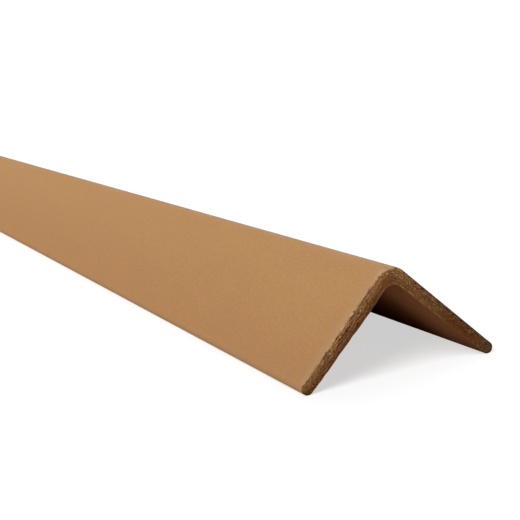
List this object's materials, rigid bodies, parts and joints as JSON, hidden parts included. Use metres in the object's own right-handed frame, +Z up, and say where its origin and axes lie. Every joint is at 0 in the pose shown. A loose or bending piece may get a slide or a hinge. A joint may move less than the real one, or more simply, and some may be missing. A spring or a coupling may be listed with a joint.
{
  "type": "pallet edge protector",
  "caption": "Long angle of laminated kraft paperboard with equal legs and a rounded fold, laid over the edge of a palletised load to spread the pressure of straps.",
  "frame": {"origin": "on the surface that the leg edges stand on, under the middle of the fold", "axes": "+Y along the board from the end that the picture shows to the far end, +Z up through the fold, +X to the right as seen from the shown end"},
  "size_m": [0.069, 0.8, 0.0349],
  "materials": {
    "kraft_board": "matte kraft liner, with fibrous sawn ends"
  },
  "bodies": {
    "root": {"angle_board": "kraft_board"}
  },
  "joints": []
}
